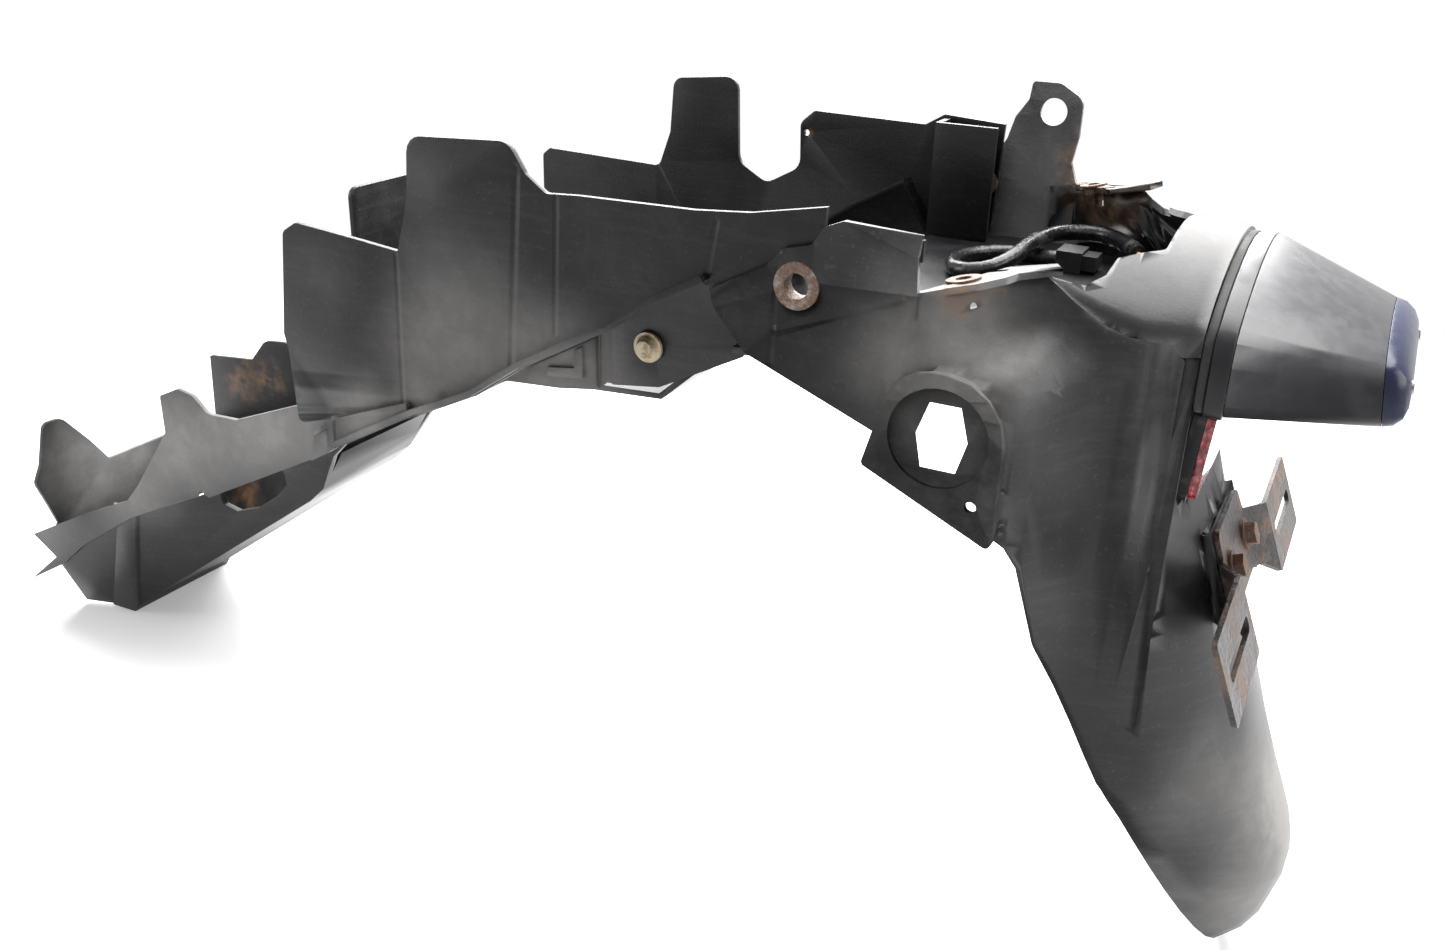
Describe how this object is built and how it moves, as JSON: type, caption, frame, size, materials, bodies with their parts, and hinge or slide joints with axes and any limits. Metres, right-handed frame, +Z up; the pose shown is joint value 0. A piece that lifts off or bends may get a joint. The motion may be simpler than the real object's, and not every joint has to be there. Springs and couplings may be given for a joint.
{
  "type": "motorcycle rear fender",
  "caption": "Used rear fender in two black mouldings: open tray, narrow front end, tail with side pods, lamp, reflector, plate bracket and drooping flap.",
  "frame": {"origin": "floor point under the middle of the part's box, on the centre line between the side walls", "axes": "+X rearward to the lamp, +Y to the motorcycle's right side, +Z up; the part rests on its front foot and on the flap's tip"},
  "size_m": [0.7828, 0.256, 0.375],
  "materials": {
    "front_plastic": "satin moulded, dusty",
    "rear_plastic": "satin moulded, dusty",
    "rusty_collar": "rusty zinc",
    "clip_plastic": "aged white",
    "dark_screw": "dull",
    "zinc": "dull zinc",
    "rusty_bolt": "rusted",
    "rusty_plate": "worn black paint with rust",
    "black_rubber": "matt",
    "lamp_black": "glossy",
    "smoked_lens": "glossy smoked",
    "holder_plastic": "matt",
    "bulb_glass": "clear",
    "sleeve_black": "glossy vinyl",
    "wire_cream": "smooth",
    "backing_black": "satin",
    "reflector_red": "prismatic"
  },
  "bodies": {
    "root": {"front_fender": "front_plastic", "rear_fender": "rear_plastic", "collar_left": "rusty_collar", "collar_right": "rusty_collar", "ledge_bush_left": "rusty_collar", "ledge_bush_right": "rusty_collar", "panel_clip_left": "clip_plastic", "panel_clip_right": "clip_plastic", "joint_screws": "dark_screw", "lamp_gasket": "black_rubber", "lamp_base": "lamp_black", "lamp_housing": "lamp_black", "lamp_lens": "smoked_lens", "lens_screws": "zinc", "bulb_holder": "holder_plastic", "bulb": "bulb_glass", "lamp_nuts": "zinc", "loom_grommet": "black_rubber", "loom_sleeve": "sleeve_black", "loom_connector": "holder_plastic", "tail_wire": "wire_cream", "reflector_backing": "backing_black", "reflector_lens": "reflector_red", "reflector_nut": "zinc", "plate_bracket": "rusty_plate", "bracket_dampers": "black_rubber", "bracket_bolts": "rusty_bolt", "bracket_washers": "rusty_bolt", "bracket_nuts": "rusty_bolt"}
  },
  "joints": []
}
